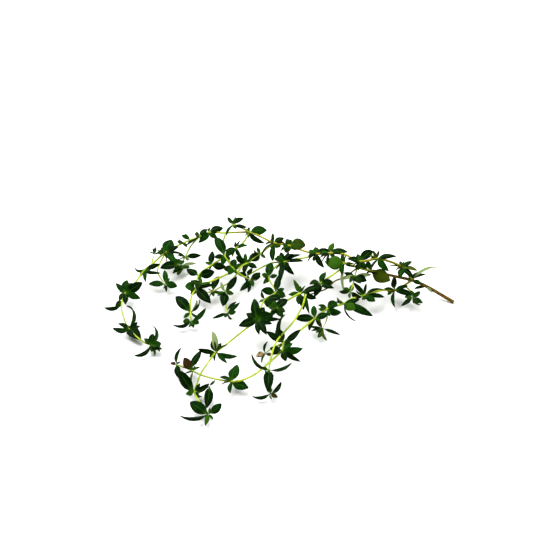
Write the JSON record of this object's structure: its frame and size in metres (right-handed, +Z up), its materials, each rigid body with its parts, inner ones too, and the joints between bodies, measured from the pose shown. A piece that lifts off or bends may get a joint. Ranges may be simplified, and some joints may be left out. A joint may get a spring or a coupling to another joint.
{
  "type": "thyme bundle",
  "caption": "Cut bunch of fresh thyme lying flat: a woody stem that branches into thin arching shoots with whorls of small pointed leaves.",
  "frame": {"origin": "centre of the bunch where it rests on the table", "axes": "+X along the length of the bunch towards its cut woody end, +Z up"},
  "size_m": [0.1408, 0.105, 0.0198],
  "materials": {
    "bark": "matte brown bark, reddish, green where the stem thins",
    "green_stems": "satin yellow-green, finely hairy",
    "dry_stem": "matte, dry and papery",
    "leaves": "glossy dark green above, pale grey-green below",
    "leafy_shoots": "glossy dark green leaves on satin yellow-green stems"
  },
  "bodies": {
    "root": {"back_shoot": "green_stems", "back_shoot_leaves_1": "leaves", "back_shoot_leaves_2": "leaves", "back_shoot_leaves_3": "leaves", "back_shoot_leaves_4": "leaves", "back_shoot_leaves_5": "leaves", "back_shoot_leaves_6": "leaves", "back_shoot_leaves_7": "leaves", "back_shoot_leaves_8": "leaves", "back_shoot_leaves_9": "leaves", "back_shoot_leaves_10": "leaves", "back_shoot_leaves_11": "leaves", "back_shoot_leaves_12": "leaves", "back_shoot_leaves_13": "leaves", "back_shoot_leaves_14": "leaves", "back_shoot_leaves_15": "leaves", "back_shoot_leaves_16": "leaves", "bud_twig": "leafy_shoots", "cluster_shoot": "leafy_shoots", "cross_shoot": "green_stems", "cross_shoot_leaves_1": "leaves", "cross_shoot_leaves_2": "leaves", "cross_shoot_leaves_3": "leaves", "curled_twig": "leafy_shoots", "dry_twig": "dry_stem", "foot_twig": "leafy_shoots", "fork_twig": "leafy_shoots", "front_shoot": "green_stems", "front_shoot_leaves_1": "leaves", "front_shoot_leaves_2": "leaves", "front_shoot_leaves_3": "leaves", "front_shoot_leaves_4": "leaves", "front_shoot_leaves_5": "leaves", "front_shoot_leaves_6": "leaves", "front_shoot_leaves_7": "leaves", "front_shoot_leaves_8": "leaves", "front_shoot_leaves_9": "leaves", "front_shoot_leaves_10": "leaves", "front_twig": "leafy_shoots", "hanging_shoot": "leafy_shoots", "inner_shoot": "leafy_shoots", "long_branch": "green_stems", "long_branch_leaves_1": "leaves", "long_branch_leaves_2": "leaves", "long_branch_leaves_3": "leaves", "long_branch_leaves_4": "leaves", "long_branch_leaves_5": "leaves", "looped_shoot": "leafy_shoots", "main_stem": "bark", "main_stem_leaves_1": "leaves", "main_stem_leaves_2": "leaves", "main_stem_leaves_3": "leaves", "main_stem_leaves_4": "leaves", "middle_branch": "leafy_shoots", "middle_shoot": "leafy_shoots", "red_twig": "leafy_shoots", "side_twig": "leafy_shoots", "star_shoot": "leafy_shoots", "tuft_twig": "leafy_shoots", "upright_twig": "leafy_shoots"}
  },
  "joints": []
}
